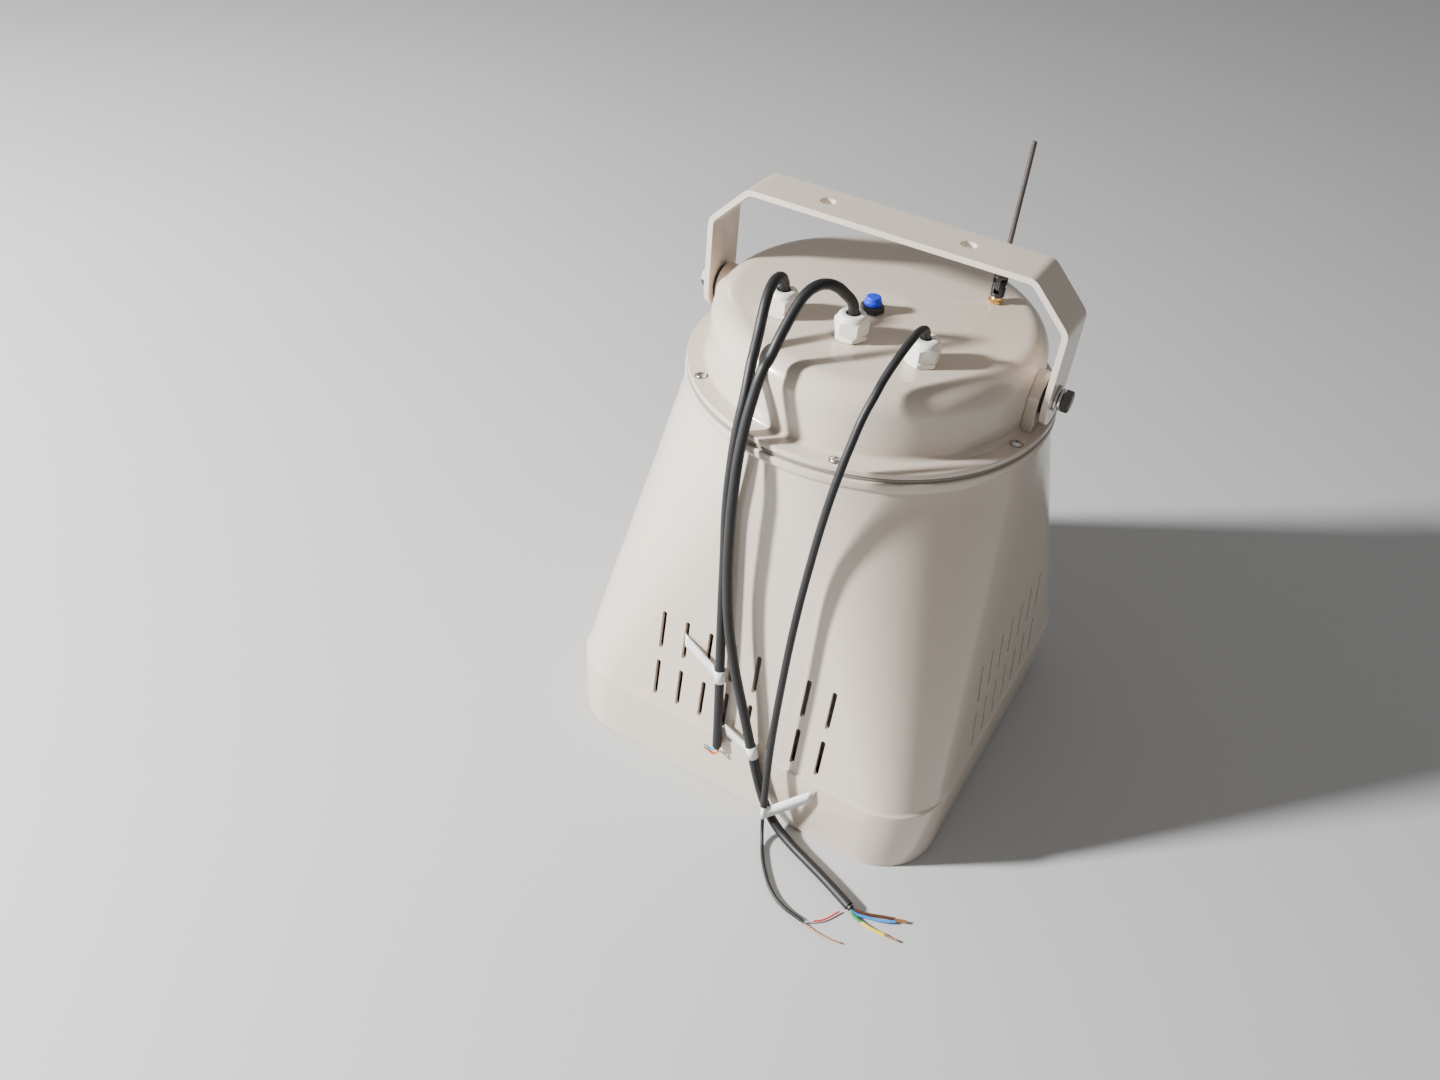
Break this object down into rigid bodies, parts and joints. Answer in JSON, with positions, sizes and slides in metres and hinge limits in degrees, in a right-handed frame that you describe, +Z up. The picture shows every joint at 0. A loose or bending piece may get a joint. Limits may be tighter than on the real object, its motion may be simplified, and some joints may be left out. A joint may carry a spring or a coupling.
{
  "type": "horn loudspeaker head",
  "caption": "Weatherproof bell-shaped horn loudspeaker head, hung in a tilting yoke, with cable glands, breather vent and folding whip antenna.",
  "frame": {"origin": "centre of the mouth, in the plane of its rim, on the surface that the bell stands on", "axes": "+Z up from the mouth to the rear cap, along the horn axis; X along the yoke's pivot axis; -Y the front face, on the side of the cable glands"},
  "size_m": [0.3261, 0.384, 0.4726],
  "materials": {
    "shell_paint": "gloss warm grey powder coat, lightly worn",
    "seal_rubber": "matt black rubber",
    "bright_steel": "bright stainless steel",
    "dark_steel": "dark plated steel",
    "gland_nylon": "off-white nylon",
    "black_plastic": "satin black plastic",
    "vent_blue": "bright blue moulded plastic",
    "gold_plate": "gold plated brass",
    "antenna_sleeve": "satin grey-brown sleeve",
    "bare_aluminium": "bare aluminium",
    "board": "green solder mask",
    "cable_jacket": "soft black cable jacket",
    "tag_film": "white label film",
    "wire_copper": "stranded copper with coloured insulation"
  },
  "bodies": {
    "head": {"bell_shell": "shell_paint", "cap_gasket": "seal_rubber", "rear_cap": "shell_paint", "cap_screw_1": "bright_steel", "cap_screw_2": "bright_steel", "cap_screw_3": "bright_steel", "cap_screw_4": "bright_steel", "cap_screw_5": "bright_steel", "cap_screw_6": "bright_steel", "pivot_lug_right": "shell_paint", "pivot_lug_left": "shell_paint", "friction_washer_right": "seal_rubber", "friction_washer_left": "seal_rubber", "flat_washer_right": "bright_steel", "flat_washer_left": "bright_steel", "spring_washer_right": "bright_steel", "spring_washer_left": "bright_steel", "pivot_bolt_right": "dark_steel", "pivot_bolt_left": "dark_steel", "gland_body_1": "gland_nylon", "gland_body_2": "gland_nylon", "gland_body_3": "gland_nylon", "gland_nut_1": "gland_nylon", "gland_nut_2": "gland_nylon", "gland_nut_3": "gland_nylon", "gland_locknut_1": "gland_nylon", "gland_locknut_2": "gland_nylon", "gland_locknut_3": "gland_nylon", "vent_body": "black_plastic", "vent_cap": "vent_blue", "antenna_connector": "gold_plate", "inner_horn": "bare_aluminium", "driver_magnet": "dark_steel", "electronics_tray": "bare_aluminium", "amplifier_board": "board", "heat_sink": "bare_aluminium", "power_supply": "black_plastic", "radio_module": "bright_steel", "terminal_block": "gland_nylon", "cable_1": "cable_jacket", "cable_2": "cable_jacket", "cable_3": "cable_jacket", "cable_3_core": "cable_jacket", "cable_1_wires": "wire_copper", "cable_2_wires": "wire_copper", "cable_3_wires": "wire_copper", "cable_tag_1": "tag_film", "cable_tag_2": "tag_film", "cable_tag_3": "tag_film"},
    "yoke": {"yoke_bracket": "shell_paint"},
    "antenna_swivel": {"antenna_base": "black_plastic"},
    "antenna": {"antenna_whip": "antenna_sleeve"},
    "diaphragm": {"driver_diaphragm": "bare_aluminium"}
  },
  "joints": [
    {"name": "yoke_tilt", "type": "hinge", "parent": "head", "child": "yoke", "pos_m": [0, 0, 0.3355], "axis": [1, 0, 0], "range_deg": [-20, 25]},
    {"name": "antenna_turn", "type": "hinge", "parent": "head", "child": "antenna_swivel", "pos_m": [0.0618, 0.051, 0.3736], "axis": [0, 0, 1], "range_deg": [-40, 40]},
    {"name": "antenna_fold", "type": "hinge", "parent": "antenna_swivel", "child": "antenna", "pos_m": [0.0618, 0.051, 0.3736], "axis": [-1, 0, 0], "range_deg": [0, 90]},
    {"name": "diaphragm_travel", "type": "slide", "parent": "head", "child": "diaphragm", "axis": [0, 0, 1], "range_m": [-0.0004, 0.0004], "stiffness_N_per_m": 4000}
  ]
}
